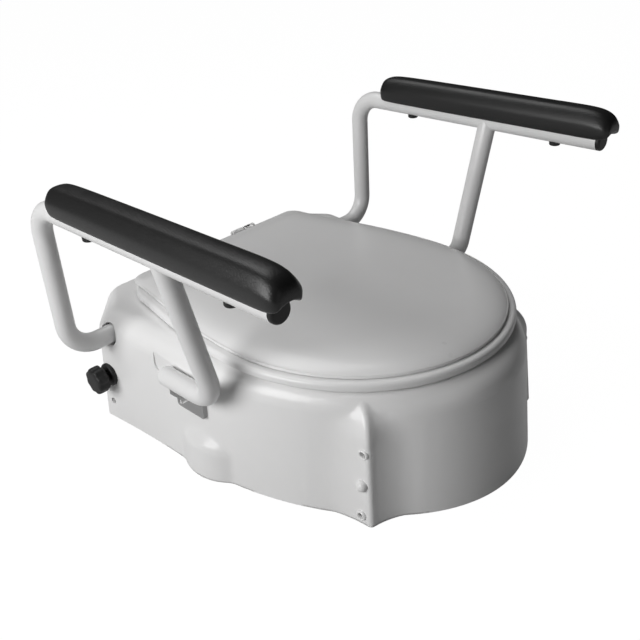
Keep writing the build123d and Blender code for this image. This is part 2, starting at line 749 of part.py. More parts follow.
with BuildPart() as pivot_clip:
    add(cross_bar(tube_radius + clip_wall, pivot_inner_x, pivot_inner_x + clip_thick, pivot_y, pivot_z))
    add(cross_bar(tube_radius + fixed_fit, 0, spread_x, pivot_y, pivot_z), mode=Mode.SUBTRACT)
save_pair(pivot_clip, "pivot_clip")

# ---------------------------------------------------------------- rear clamps
with BuildPart() as clamp_collar:
    add(cross_bar(collar_radius, spot_face_x, spot_face_x + collar_thick, knob_y, knob_z))
    fillet(clamp_collar.faces().sort_by(Axis.X)[-1].edges(), knob_round)
    add(cross_bar(stud_radius + running_fit, 0, spread_x, knob_y, knob_z), mode=Mode.SUBTRACT)
save_pair(clamp_collar, "clamp_collar")

neck_x = spot_face_x + collar_thick + rest_clear
grip_x = neck_x + knob_neck
with BuildPart() as clamp_knob:
    with BuildSketch(Plane.YZ.offset(grip_x)):
        with Locations((knob_y, knob_z)):
            Circle(knob_radius)
            with PolarLocations(knob_radius + knob_flute_radius / 2, knob_lobes):
                Circle(knob_flute_radius, mode=Mode.SUBTRACT)
    extrude(amount=knob_thick)
    fillet(clamp_knob.faces().sort_by(Axis.X)[-1].edges(), knob_round)
    add(cross_bar(knob_neck_radius, neck_x, grip_x, knob_y, knob_z))
    add(cross_bar(stud_radius + fixed_fit, 0, grip_x, knob_y, knob_z), mode=Mode.SUBTRACT)
save_pair(clamp_knob, "clamp_knob")

with BuildPart() as clamp_stud:
    add(cross_bar(stud_radius, stud_inner_x, grip_x, knob_y, knob_z))
save_pair(clamp_stud, "clamp_stud")

with BuildPart() as clamp_nut:
    with BuildSketch(Plane.YZ.offset(clamp_face - bracket_thick - nut_thick)):
        with Locations((knob_y, knob_z)):
            RegularPolygon(nut_flat_radius, 6, major_radius=False)
            Circle(stud_radius + running_fit, mode=Mode.SUBTRACT)
    extrude(amount=nut_thick)
save_pair(clamp_nut, "clamp_nut")

# ---------------------------------------------------------------- feet on the bowl rim
with BuildPart() as rear_bracket:
    with BuildSketch(Plane.YZ.offset(clamp_face - bracket_thick)) as plate:
        with Locations((knob_y, (foot_level + rear_bracket_top) / 2)):
            Rectangle(2 * clamp_pad_half, rear_bracket_top - foot_level)
        fillet(plate.vertices().group_by(Axis.Z)[-1], bracket_corner)
    extrude(amount=bracket_thick)
    with BuildSketch(Plane.XY.offset(foot_level)) as foot:
        with Locations((clamp_face - rear_foot_length / 2, knob_y)):
            Rectangle(rear_foot_length, 2 * clamp_pad_half)
        fillet(foot.vertices().group_by(Axis.X)[0], bracket_corner)
    extrude(amount=bracket_thick)
    add(cross_bar(stud_radius + running_fit, 0, spread_x, knob_y, knob_z), mode=Mode.SUBTRACT)
save_pair(rear_bracket, "rear_bracket")


def foot_pad(middle_x, middle_y, length, width):
    """Rubber pad under a foot."""
    with BuildPart() as pad:
        with BuildSketch(Plane.XY.offset(foot_level - foot_pad_thick)):
            with Locations((middle_x, middle_y)):
                RectangleRounded(length, width, bracket_corner)
        extrude(amount=foot_pad_thick)
    return pad


save_pair(foot_pad(clamp_face - rear_foot_length / 2, knob_y, rear_foot_length, 2 * clamp_pad_half),
          "rear_foot_pad")

front_plate_rear_y = ear_bolt_y + front_bracket_rear
with BuildPart() as front_bracket:
    with BuildSketch(Plane.YZ.offset(ear_boss_face - bracket_thick)) as plate:
        with Locations((ear_bolt_y + (front_bracket_rear - front_bracket_front) / 2,
                        (front_bracket_low + front_bracket_top) / 2)):
            Rectangle(front_bracket_rear + front_bracket_front, front_bracket_top - front_bracket_low)
        fillet(plate.vertices().group_by(Axis.Y)[0], bracket_corner)
    extrude(amount=bracket_thick)
    with BuildSketch(Plane.XY.offset(foot_level)) as foot:
        with Locations((ear_boss_face - front_foot_length / 2, front_plate_rear_y - front_foot_width / 2)):
            Rectangle(front_foot_length, front_foot_width)
        fillet(foot.vertices().group_by(Axis.X)[0], bracket_corner)
    extrude(amount=bracket_thick)
    with Locations((ear_boss_face - bracket_thick / 2, front_plate_rear_y - front_foot_width / 2,
                    (front_bracket_low + foot_level) / 2)):
        Box(bracket_thick, front_foot_width, foot_level - front_bracket_low, mode=Mode.SUBTRACT)
    add(cross_bar(bolt_radius + fixed_fit, 0, spread_x, ear_bolt_y, front_bolt_z), mode=Mode.SUBTRACT)
save_pair(front_bracket, "front_bracket")
save_pair(foot_pad(ear_boss_face - front_foot_length / 2, front_plate_rear_y - front_foot_width / 2,
                   front_foot_length, front_foot_width), "front_foot_pad")

with BuildPart() as front_bolt:
    add(cross_bar(bolt_head_radius, bolt_seat_x, bolt_seat_x + bolt_head_thick, ear_bolt_y, front_bolt_z))
    fillet(front_bolt.faces().sort_by(Axis.X)[-1].edges(), bolt_head_thick / 2)
    add(cross_bar(bolt_radius, bolt_inner_x, bolt_seat_x, ear_bolt_y, front_bolt_z))
save_pair(front_bolt, "front_bolt")

with BuildPart() as wing_nut:
    nut_x = ear_boss_face - bracket_thick - nut_thick
    with BuildSketch(Plane.YZ.offset(nut_x)):
        with Locations((ear_bolt_y, front_bolt_z)):
            Circle(nut_flat_radius)
    extrude(amount=nut_thick)
    with BuildSketch(Plane.XZ.offset(-ear_bolt_y)):
        with Locations((nut_x, front_bolt_z)):
            SlotOverall(2 * wing_reach, nut_thick, rotation=90)
    extrude(amount=wing_thick / 2, both=True)
    add(cross_bar(bolt_radius + fixed_fit, 0, spread_x, ear_bolt_y, front_bolt_z), mode=Mode.SUBTRACT)
save_pair(wing_nut, "wing_nut")
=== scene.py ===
from math import copysign, cos, pi, radians, sin

import bmesh
import bpy
import numpy as np
from mathutils import Matrix, Vector


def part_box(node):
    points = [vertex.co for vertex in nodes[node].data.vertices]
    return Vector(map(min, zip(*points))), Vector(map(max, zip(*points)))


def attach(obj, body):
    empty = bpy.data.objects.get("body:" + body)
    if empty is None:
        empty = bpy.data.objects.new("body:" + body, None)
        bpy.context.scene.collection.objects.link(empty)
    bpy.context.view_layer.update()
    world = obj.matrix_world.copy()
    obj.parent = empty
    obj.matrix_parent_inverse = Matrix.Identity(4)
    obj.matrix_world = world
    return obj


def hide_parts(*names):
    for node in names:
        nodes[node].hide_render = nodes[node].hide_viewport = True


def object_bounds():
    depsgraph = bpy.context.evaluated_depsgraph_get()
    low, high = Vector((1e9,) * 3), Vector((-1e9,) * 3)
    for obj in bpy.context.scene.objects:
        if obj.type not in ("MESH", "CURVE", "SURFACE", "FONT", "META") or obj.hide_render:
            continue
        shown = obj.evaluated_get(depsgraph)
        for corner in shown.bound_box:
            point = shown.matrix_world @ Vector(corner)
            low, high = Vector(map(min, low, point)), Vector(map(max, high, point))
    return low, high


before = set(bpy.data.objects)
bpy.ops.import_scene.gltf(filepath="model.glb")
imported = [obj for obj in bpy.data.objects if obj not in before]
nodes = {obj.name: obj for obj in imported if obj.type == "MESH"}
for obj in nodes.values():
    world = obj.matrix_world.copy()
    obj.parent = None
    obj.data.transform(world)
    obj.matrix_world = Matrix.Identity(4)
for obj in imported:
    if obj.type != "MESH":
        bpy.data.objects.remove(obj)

# Raised toilet seat: dresses the CAD frame with finishes, adds the lid's soft form, the
# fairings of the wall, the ears' caps, the knobs, the notch trays and the armrest pads,
# and sets the studio. Metres, +Z up, -Y front, left pieces at +X.

cadLow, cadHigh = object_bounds()
bothSides = {"left": 1, "right": -1}  # side and its sign along X


# finishes: node trees written as expressions

class Wire:
    # a node's output; arithmetic on it adds Math nodes
    def __init__(self, finish, socket):
        self.finish, self.socket = finish, socket

    def math(self, operation, first, second):
        return self.finish.node("Math", {"operation": operation}, {0: first, 1: second})

    def __add__(self, other):
        return self.math("ADD", self, other)

    def __radd__(self, other):
        return self.math("ADD", other, self)

    def __sub__(self, other):
        return self.math("SUBTRACT", self, other)

    def __rsub__(self, other):
        return self.math("SUBTRACT", other, self)

    def __mul__(self, other):
        return self.math("MULTIPLY", self, other)

    def __rmul__(self, other):
        return self.math("MULTIPLY", other, self)

    def over(self, low, high):
        # 0 below low, 1 above high, straight in between
        return self.finish.node("MapRange", {"clamp": True}, {"Value": self, "From Min": low, "From Max": high})


class Finish:
    # one material; constants go straight on the shader's own sockets
    def __init__(self, name, **constants):
        self.material = bpy.data.materials.new(name)
        self.material.use_nodes = True
        self.tree = self.material.node_tree
        self.shader = self.tree.nodes["Principled BSDF"]
        for socket, value in constants.items():
            self.shader.inputs[socket.replace("_", " ")].default_value = value

    def node(self, kind, settings=None, inputs=None, output=0):
        made = self.tree.nodes.new("ShaderNode" + kind)
        for name, value in (settings or {}).items():
            setattr(made, name, value)
        for name, value in (inputs or {}).items():
            self.feed(made.inputs[name], value)
        return Wire(self, made.outputs[output])

    def feed(self, socket, value):
        if isinstance(value, Wire):
            self.tree.links.new(value.socket, socket)
        else:
            socket.default_value = value

    def place(self, stretch=(1, 1, 1)):
        coords = self.node("TexCoord", output="Object")
        return self.node("Mapping", inputs={"Vector": coords, "Scale": stretch})

    def noise(self, layer, stretch=(1, 1, 1)):
        perMetre, detail, rough = layer
        return self.node("TexNoise", inputs={"Vector": self.place(stretch), "Scale": perMetre,
                                             "Detail": detail, "Roughness": rough})

    def cells(self, perMetre, feature):
        return self.node("TexVoronoi", {"feature": feature}, {"Vector": self.place(), "Scale": perMetre}, "Distance")

    def blend(self, share, first, second):
        # colours go through a Mix node
        return self.node("Mix", {"data_type": "RGBA"}, {"Factor": share, 6: first, 7: second}, 2)

    def bump(self, height, depth, strength):
        return self.node("Bump", inputs={"Height": height, "Distance": depth, "Strength": strength})

    def done(self, **links):
        for name, value in links.items():
            self.feed(self.shader.inputs[name.replace("_", " ")], value)
        return self.material


def grey(value, warm=0.0):
    return (value * (1 + warm), value, value * (1 - warm), 1.0)


# a layer of noise is (per metre, detail, roughness) and its span is (where it starts, where it is full);
# the other values are shares, roughnesses, and the relief of the surface in metres
plastic = {
    "pale": grey(0.80, 0.003), "dull": grey(0.76, 0.006), "mottled": 0.3,
    "clouds": (14, 4, 0.55), "cloudSpan": (0.35, 0.75), "scuffs": (26, 3, 0.5), "scuffSpan": (0.55, 0.8),
    "dust": 0.5, "dustSpan": (0.42, 0.7), "dustHeight": 0.05,
    "gloss": 0.26, "handled": 0.33, "cloudedGloss": 0.05, "coat": 0.12, "scuffedCoat": 0.08,
    "peel": (520, 2, 0.5), "grain": (2600, 1, 0.5), "grainShare": 0.12, "relief": 0.00004, "strength": 0.3,
}
# painted shade: the body plastic darkened to stand in for the shade inside the notches
paintedShadePlastic = {**plastic, "pale": grey(0.30), "dull": grey(0.26)}


def mouldedPlastic(name, look):
    # glossy moulding: faint mottling, a little dust low down, fine orange peel and light scuffs
    finish = Finish(name, Specular_IOR_Level=0.4, IOR=1.45, Coat_Roughness=0.1)
    clouds = finish.noise(look["clouds"])
    scuffs = finish.noise(look["scuffs"]).over(*look["scuffSpan"])
    height = finish.node("SeparateXYZ", inputs={"Vector": finish.place()}, output="Z")
    dust = (1 - height.over(0.0, look["dustHeight"])) * clouds.over(*look["dustSpan"]) * look["dust"]
    mottling = clouds.over(*look["cloudSpan"]) * look["mottled"]
    roughness = look["gloss"] + (look["handled"] - look["gloss"]) * scuffs + clouds * look["cloudedGloss"]
    texture = finish.noise(look["peel"]) + finish.noise(look["grain"]) * look["grainShare"]
    return finish.done(Base_Color=finish.blend(mottling + dust, look["pale"], look["dull"]),
                       Roughness=roughness,
                       Coat_Weight=look["coat"] - scuffs * look["scuffedCoat"],
                       Normal=finish.bump(texture, look["relief"], look["strength"]))


bodyFinish = mouldedPlastic("body moulding", plastic)
paintedShadePocketFinish = mouldedPlastic("moulding pocket with painted shade", paintedShadePlastic)
lidFinish = mouldedPlastic("lid moulding", plastic)

coating = {
    "pale": grey(0.78, 0.002), "worn": grey(0.68, 0.006), "rubbed": 0.4,
    "rubs": (60, 5, 0.65), "rubSpan": (0.58, 0.78),
    "gloss": 0.27, "rubbedGloss": 0.18, "pebbledGloss": 0.06, "coat": 0.15, "rubbedCoat": 0.1,
    "pebbles": (1500, 2, 0.55), "relief": 0.00006, "strength": 0.3,
}


def powderCoat(name, look):
    # baked coating on steel tube: fine pebbling, faint rub marks
    finish = Finish(name, Specular_IOR_Level=0.5, Coat_Roughness=0.12)
    pebbles = finish.noise(look["pebbles"])
    rubs = finish.noise(look["rubs"]).over(*look["rubSpan"])
    return finish.done(Base_Color=finish.blend(rubs * look["rubbed"], look["pale"], look["worn"]),
                       Roughness=look["gloss"] + rubs * look["rubbedGloss"] + pebbles * look["pebbledGloss"],
                       Coat_Weight=look["coat"] - rubs * look["rubbedCoat"],
                       Normal=finish.bump(pebbles, look["relief"], look["strength"]))


coatFinish = powderCoat("white powder coat", coating)

foam = {
    "skin": grey(0.013), "worn": grey(0.019, 0.01), "rubbed": 0.5, "creased": 0.1,
    "rubs": (22, 4, 0.6), "rubSpan": (0.45, 0.72), "topSpan": (0.5, 0.95),  # rubbed only where it faces up
    "gloss": 0.33, "rubbedGloss": 0.1, "fineGloss": 0.08, "creasedGloss": 0.04,
    "pebblesPerMetre": 620, "pebbleHeight": 0.5, "creasesPerMetre": 372, "creaseWidth": 0.12, "creaseDepth": 0.8,
    "fine": (2400, 2, 0.5), "fineHeight": 0.15, "relief": 0.00012, "strength": 0.45,
}


def foamSkin(name, look):
    # self-skinned foam: leather-like pebble with creases between, duller where arms rest
    finish = Finish(name, Specular_IOR_Level=0.4)
    pebbles = finish.cells(look["pebblesPerMetre"], "SMOOTH_F1")
    creases = finish.cells(look["creasesPerMetre"], "DISTANCE_TO_EDGE").over(0.0, look["creaseWidth"])
    fine = finish.noise(look["fine"])
    facing = finish.node("SeparateXYZ", inputs={"Vector": finish.node("NewGeometry", output="Normal")}, output="Z")
    rubbed = finish.noise(look["rubs"]).over(*look["rubSpan"]) * facing.over(*look["topSpan"])
    wear = rubbed * look["rubbed"] + (1 - creases) * look["creased"]
    roughness = (look["gloss"] + rubbed * look["rubbedGloss"] + fine * look["fineGloss"]
                 - (1 - creases) * look["creasedGloss"])
    leather = (1 - pebbles) * look["pebbleHeight"] + creases * look["creaseDepth"] + fine * look["fineHeight"]
    return finish.done(Base_Color=finish.blend(wear, look["skin"], look["worn"]),
                       Roughness=roughness,
                       Normal=finish.bump(leather, look["relief"], look["strength"]))


foamFinish = foamSkin("foam skin", foam)

grip = {
    "tone": grey(0.012), "dull": grey(0.02), "handled": 0.5, "patches": (70, 4, 0.6), "patchSpan": (0.5, 0.75),
    "gloss": 0.42, "sparkGloss": 0.12, "greyedGloss": 0.08,
    "spark": (1800, 3, 0.6), "relief": 0.00006, "strength": 0.5,
}
rubber = {**grip, "tone": grey(0.03), "dull": grey(0.06), "gloss": 0.58, "spark": (1100, 3, 0.6)}


def blackMoulding(name, look):
    # spark-textured black moulding or rubber, greyed a little where it is handled
    finish = Finish(name, Specular_IOR_Level=0.35)
    spark = finish.noise(look["spark"])
    greyed = finish.noise(look["patches"]).over(*look["patchSpan"])
    return finish.done(Base_Color=finish.blend(greyed * look["handled"], look["tone"], look["dull"]),
                       Roughness=look["gloss"] + spark * look["sparkGloss"] + greyed * look["greyedGloss"],
                       Normal=finish.bump(spark, look["relief"], look["strength"]))


gripFinish = blackMoulding("black moulding", grip)
rubberFinish = blackMoulding("black rubber", rubber)

steel = {
    "tone": grey(0.62), "dull": grey(0.48, 0.01), "clouds": (160, 4, 0.6), "cloudSpan": (0.35, 0.7),
    "gloss": 0.22, "drawnGloss": 0.16, "cloudedGloss": 0.08,
    "drawn": (900, 3, 0.6), "drawnStretch": (0.08, 1, 1), "relief": 0.00003, "strength": 0.4,
}


def bareSteel(name, look):
    # zinc-plated steel: drawn lines, cloudy plating
    finish = Finish(name, Metallic=1.0)
    drawn = finish.noise(look["drawn"], look["drawnStretch"])
    clouds = finish.noise(look["clouds"])
    return finish.done(Base_Color=finish.blend(clouds.over(*look["cloudSpan"]), look["tone"], look["dull"]),
                       Roughness=look["gloss"] + drawn * look["drawnGloss"] + clouds * look["cloudedGloss"],
                       Normal=finish.bump(drawn, look["relief"], look["strength"]))


steelFinish = bareSteel("zinc plated steel", steel)
print("finishes made")


# CAD nodes: each gets the finish of its material

nodeFinishes = {
    "body_plastic": bodyFinish, "lid_plastic": lidFinish, "coated_tube": coatFinish,
    "pad_foam": foamFinish, "soft_black": gripFinish, "steel": steelFinish,
}
rubberNodes = [name for name in nodes if "foot_pad" in name or "buffers" in name]


def dress(piece, finish):
    piece.data.materials.clear()
    piece.data.materials.append(finish)


for nodeName, node in nodes.items():
    slotName = node.data.materials[0].name
    dress(node, rubberFinish if nodeName in rubberNodes else nodeFinishes[slotName])
print("CAD nodes dressed:", len(nodes))


# helpers for the new pieces

mergeDistance = 0.000002  # CAD vertices closer than this are one


def linked(name, mesh):
    # the object of a finished bmesh, in the scene
    data = bpy.data.meshes.new(name)
    mesh.to_mesh(data)
    mesh.free()
    made = bpy.data.objects.new(name, data)
    bpy.context.scene.collection.objects.link(made)
    return made


def addPiece(name, mesh, body, finish, slotName, *replaced):
    # puts a finished bmesh on a body, in place of CAD nodes where some are named
    bmesh.ops.recalc_face_normals(mesh, faces=mesh.faces)
    piece = linked(name, mesh)
    piece.data.shade_smooth()
    dress(piece, finish)
    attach(piece, body)
    if replaced:
        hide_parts(*replaced)
    return piece


def mergedCopy(nodeName):
    # a CAD node's mesh with its loose triangles joined
    mesh = bmesh.new()
    mesh.from_mesh(nodes[nodeName].data)
    bmesh.ops.remove_doubles(mesh, verts=mesh.verts, dist=mergeDistance)
    return mesh


def applied(mesh, modifierKind, **settings):
    # the bmesh with one modifier applied to it
    form = linked("form", mesh)
    modifier = form.modifiers.new("form", modifierKind)
    for name, value in settings.items():
        setattr(modifier, name, value)
    formed = bpy.data.meshes.new_from_object(form.evaluated_get(bpy.context.evaluated_depsgraph_get()))
    bpy.data.objects.remove(form)
    mesh = bmesh.new()
    mesh.from_mesh(formed)
    return mesh


def only(kind, parts):
    return [part for part in parts if isinstance(part, kind)]


def cutBy(mesh, place, facing, **settings):
    # the plane's cut through all of a bmesh
    bmesh.ops.bisect_plane(mesh, geom=mesh.verts[:] + mesh.edges[:] + mesh.faces[:],
                           plane_co=place, plane_no=facing, **settings)


def ramp(value, span):
    # 0 before the span, 1 after it
    return min(max((value - span[0]) / (span[1] - span[0]), 0), 1)


def eased(share):
    return share * share * (3 - 2 * share)


def along(span, share):
    return span[0] + (span[1] - span[0]) * share


# lid: rings drawn in from its outline over a soft crown, above the CAD lid's own ribs and lugs
lidMould = {
    "halfWidth": 0.170, "frontReach": 0.188, "middle": -0.015,  # the front is half an oval
    "sideLead": 0.0943, "rearLead": (0.1451, 0.146), "rearHalf": 0.1385, "rear": 0.2150,
    "cornerRadius": 0.016, "rearBow": 0.0006,
    "frontSteps": 40, "sideSteps": 40, "cornerSteps": 8, "rearSteps": 12,
    "spine": (-0.06, 0.10),  # the rings are drawn in towards this stretch of the Y axis
    "profile": (  # inset from the outline, height
        (0.0087, 0.1572), (0.0087, 0.1539), (0.0008, 0.1539), (-0.0001, 0.1545), (-0.0001, 0.1552),
        (0.0004, 0.1559), (0.0013, 0.1567), (0.0030, 0.1578), (0.0060, 0.1592), (0.0100, 0.1606),
        (0.0150, 0.1618), (0.0210, 0.1627), (0.0280, 0.1633), (0.0370, 0.1637), (0.0500, 0.1639)),
    # the crown is flatter over the rear rim: room for the deck when seat and lid are both back
    "flatDrop": 0.0021, "flatAlong": (0.184, 0.2035), "flatInset": (0.006, 0.014),
    "ribTop": 0.1571, "sharpDegrees": 32,
}


def bowed(points, share):
    # a place on the cubic curve of four points
    first, lead, rearLead, last = (Vector(point) for point in points)
    rest = 1 - share
    return rest ** 3 * first + 3 * rest ** 2 * share * lead + 3 * rest * share ** 2 * rearLead + share ** 3 * last


def lidOutline():
    # half of the outline, from the front's middle round to the rear's middle
    mould = lidMould
    half, middle, rear, corner = mould["halfWidth"], mould["middle"], mould["rear"], mould["cornerRadius"]
    places = []
    for step in range(mould["frontSteps"]):
        turn = step / mould["frontSteps"] * pi / 2
        places.append(Vector((half * sin(turn), middle - mould["frontReach"] * cos(turn))))
    curve = (half, middle), (half, middle + mould["sideLead"]), mould["rearLead"], (mould["rearHalf"], rear)
    side = [bowed(curve, step / mould["sideSteps"]) for step in range(mould["sideSteps"] + 1)]
    places += [place for place in side if place.y < rear - corner]
    start = places[-1]
    for step in range(1, mould["cornerSteps"] + 1):
        turn = step / mould["cornerSteps"] * pi / 2
        places.append(Vector((start.x - corner * (1 - cos(turn)), along((start.y, rear), sin(turn)))))
    edge = places[-1].x
    for step in range(1, mould["rearSteps"] + 1):
        share = step / mould["rearSteps"]
        places.append(Vector((edge * (1 - share), rear + mould["rearBow"] * sin(share * pi / 2))))
    return places


def buildLid():
    half = lidOutline()
    outline = half + [Vector((-place.x, place.y)) for place in reversed(half[1:-1])]
    profile = lidMould["profile"]

    def outward(place):
        low, high = lidMould["spine"]
        return (place.xy - Vector((0, min(max(place.y, low), high)))).normalized()

    mesh = bmesh.new()
    ring = bmesh.ops.create_circle(mesh, cap_ends=True, segments=len(outline), radius=1.0)["verts"]
    for vert, place in zip(ring, outline):
        vert.co = (*(place - outward(place) * profile[0][0]), profile[0][1])
    edges = [edge for edge in mesh.edges if edge.is_boundary]
    for (before, _), (inset, height) in zip(profile, profile[1:]):
        grown = bmesh.ops.extrude_edge_only(mesh, edges=edges)["geom"]
        edges = only(bmesh.types.BMEdge, grown)
        for vert in only(bmesh.types.BMVert, grown):
            place = vert.co.xy + outward(vert.co) * (before - inset)
            flat = eased(ramp(place.y, lidMould["flatAlong"])) * ramp(inset, lidMould["flatInset"])
            vert.co = (*place, height - lidMould["flatDrop"] * flat)
    bmesh.ops.contextual_create(mesh, geom=edges)
    bmesh.ops.poke(mesh, faces=[face for face in mesh.faces if len(face.verts) > 4])

    # the CAD lid below its plate's underside, with its ribs and hinge lugs
    under = mergedCopy("lid")
    cutBy(under, (0, 0, lidMould["ribTop"]), (0, 0, 1), dist=1e-6, clear_outer=True)
    bmesh.ops.recalc_face_normals(under, faces=under.faces)
    underside = bpy.data.meshes.new("lid underside")
    under.to_mesh(underside)
    under.free()
    mesh.from_mesh(underside)
    piece = addPiece("lidShell", mesh, "lid", lidFinish, "lid_plastic", "lid")
    piece.data.set_sharp_from_angle(angle=radians(lidMould["sharpDegrees"]))
    piece.modifiers.new("even shading", "WEIGHTED_NORMAL").keep_sharp = True  # the flat underside has long faces


buildLid()
print("lid moulded")


# skins that run the ears and the side bulges softly into the wall, read from the CAD wall
wallSkins = {  # middle of the grid in plan, its turn in degrees, its spans along and up the wall
    "earSkin": {"middle": (0.149, -0.178), "turn": 40.0, "across": (-0.062, 0.074), "up": (0.0007, 0.1345),
                "grow": 0, "passes": 70},
    "bulgeSkin": {"middle": (0.205, 0.024), "turn": 4.0, "across": (-0.075, 0.075), "up": (0.0007, 0.0780),
                  "grow": 1, "passes": 9},
}
skinGrid = {
    "spacing": 0.002, "rayStart": 0.2, "fillPasses": 400, "passShares": (0.8, 0.2),
    "clear": 0.00005, "edgeSink": 0.4, "fadeCells": 12,  # above the wall, and just into it at the edges
    "tuck": 0.002, "holeMargin": 0.0075, "holeCut": 0.0047,
}
earHoles = {"y": -0.165, "heights": (0.010, 0.047, 0.084), "bolted": 1}


def nearHole(place, margin):
    return any(Vector((place.y - earHoles["y"], place.z - height)).length < margin for height in earHoles["heights"])


def spread(field, gather):
    # each cell gathered with its four neighbours
    wide = np.pad(field, 1, mode="edge")
    return gather([wide[1:-1, 1:-1], wide[:-2, 1:-1], wide[2:, 1:-1], wide[1:-1, :-2], wide[1:-1, 2:]], axis=0)


def readWall(places, facing):
    # how far the CAD wall stands out of the grid, with the holes filled from their edges
    wall = np.zeros((len(places), len(places[0])))
    hollow = np.zeros_like(wall, dtype=bool)
    for u, column in enumerate(places):
        for w, place in enumerate(column):
            hit, where, _, _ = nodes["base_shell"].ray_cast(place + facing * skinGrid["rayStart"], -facing)
            wall[u, w] = (where - place).dot(facing) if hit else 0
            hollow[u, w] = not hit or nearHole(where, skinGrid["holeMargin"])
    wall[hollow] = wall[~hollow].mean()
    for _ in range(skinGrid["fillPasses"] if hollow.any() else 0):
        wall[hollow] = spread(wall, np.mean)[hollow]
    return wall


def fairedWall(wall, grow, passes):
    # grown and relaxed in two goes, never lower than the wall itself
    fair = wall
    for _ in range(grow):
        fair = spread(fair, np.max)
    for share in skinGrid["passShares"]:
        for _ in range(round(passes * share)):
            fair = spread(fair, np.mean)
        fair = np.maximum(fair, wall)
    return fair


def buildSkin(name, side, middle, turn, across, up, grow, passes):
    sign = bothSides[side]
    facing = Vector((sign * cos(radians(turn)), -sin(radians(turn)), 0))
    sideways = Vector((0, 0, 1)).cross(facing) * sign
    start = Vector((sign * middle[0], middle[1], 0))
    cells = [round((span[1] - span[0]) / skinGrid["spacing"]) for span in (across, up)]
    places = [[start + sideways * along(across, u / cells[0]) + Vector((0, 0, along(up, w / cells[1])))
               for w in range(cells[1] + 1)] for u in range(cells[0] + 1)]
    wall = readWall(places, facing)
    fair = fairedWall(wall, grow, passes)
    fromEnds = np.minimum(np.arange(cells[0] + 1), np.arange(cells[0], -1, -1))
    fromTop = np.arange(cells[1], -1, -1)
    fade = eased(np.clip(np.minimum.outer(fromEnds, fromTop) / skinGrid["fadeCells"], 0, 1))
    depth = wall + (fair - wall) * fade + skinGrid["clear"] * along((-skinGrid["edgeSink"], 1), fade)

    mesh = bmesh.new()
    bmesh.ops.create_grid(mesh, x_segments=cells[0], y_segments=cells[1], size=1.0)
    for vert in mesh.verts:
        u, w = (round((part + 1) / 2 * count) for part, count in zip(vert.co.xy, cells))
        vert.co = places[u][w] + facing * depth[u, w]
    lowest = [edge for edge in mesh.edges if all(vert.co.z < up[0] + 1e-5 for vert in edge.verts)]
    folded = bmesh.ops.extrude_edge_only(mesh, edges=lowest)["geom"]
    bmesh.ops.translate(mesh, verts=only(bmesh.types.BMVert, folded), vec=-facing * skinGrid["tuck"])
    cut = [face for face in mesh.faces if nearHole(face.calc_center_median(), skinGrid["holeCut"])]
    bmesh.ops.delete(mesh, geom=cut, context="FACES")
    addPiece(name + side.capitalize(), mesh, "base", bodyFinish, "body_plastic")


for side in bothSides:
    for skinName, skin in wallSkins.items():
        buildSkin(skinName, side, **skin)
print("wall skins laid")


# turned pieces: a half section spun about the X axis of a hole; radius, reach out of the wall
turned = {
    "boltCap": ((0.0000, 0.0062), (0.0016, 0.0061), (0.0031, 0.0056), (0.0045, 0.0047), (0.0056, 0.0034),
                (0.0063, 0.0018), (0.0066, 0.0000), (0.0066, -0.0030), (0.0054, -0.0030), (0.0054, 0.0008),
                (0.0000, 0.0042)),
    "holeCollar": ((0.0034, -0.0025), (0.0034, 0.0010), (0.0037, 0.0017), (0.0043, 0.0020), (0.0050, 0.0018),
                   (0.0057, 0.0010), (0.0061, -0.0001), (0.0062, -0.0025)),
    "steps": 40, "rayStart": 0.3, "probes": ((0, 0.009), (0, -0.009), (0.007, 0), (-0.007, 0)),
}


def wallReach(side, y, z):
    # how far out the wall stands beside a hole
    sign = bothSides[side]
    found = [nodes["base_shell"].ray_cast(Vector((sign * turned["rayStart"], y + dy, z + dz)), Vector((-sign, 0, 0)))
             for dy, dz in turned["probes"]]
    return sum(where.x * sign for _, where, _, _ in found) / len(found)


def spinPiece(name, side, section, y, z, closed):
    sign = bothSides[side]
    reach = wallReach(side, y, z)
    mesh = bmesh.new()
    verts = [mesh.verts.new((sign * (reach + out), y, z + radius)) for radius, out in section]
    edges = [mesh.edges.new(pair) for pair in zip(verts, verts[1:])]
    if closed:
        edges.append(mesh.edges.new((verts[-1], verts[0])))
    bmesh.ops.spin(mesh, geom=verts + edges, cent=(0, y, z), axis=(1, 0, 0), dvec=(0, 0, 0), angle=2 * pi,
                   steps=turned["steps"], use_merge=True, use_duplicate=False)
    bmesh.ops.remove_doubles(mesh, verts=mesh.verts, dist=1e-6)
    addPiece(name + side.capitalize(), mesh, "base", bodyFinish, "body_plastic")


for side in bothSides:
    for place, height in enumerate(earHoles["heights"]):
        if place == earHoles["bolted"]:
            spinPiece("boltCap", side, turned["boltCap"], earHoles["y"], height, closed=False)
        else:
            spinPiece("holeCollar" + str(place), side, turned["holeCollar"], earHoles["y"], height, closed=True)
print("ear caps and collars turned")


# knobs: the fluted moulding, remeshed and softened
knobMould = {"voxel": 0.0008, "softening": 40}


def extent(mesh):
    return [[pick(vert.co[axis] for vert in mesh.verts) for pick in (min, max)] for axis in range(3)]


def softened(nodeName):
    mesh = applied(mergedCopy(nodeName), "REMESH", mode="VOXEL", voxel_size=knobMould["voxel"])
    full = extent(mesh)
    for _ in range(knobMould["softening"]):
        bmesh.ops.smooth_vert(mesh, verts=mesh.verts, factor=0.5, use_axis_x=True, use_axis_y=True, use_axis_z=True)
    shrunk = extent(mesh)  # smoothing shrinks it, so it is drawn out to its full size again
    for vert in mesh.verts:
        vert.co = [along(span, (value - low) / (high - low)) for value, span, (low, high) in zip(vert.co, full, shrunk)]
    return mesh


for side in bothSides:
    nodeName = "clamp_knob_" + side
    addPiece("clampGrip" + side.capitalize(), softened(nodeName), "clamp_" + side, gripFinish, "soft_black", nodeName)
print("knobs softened")
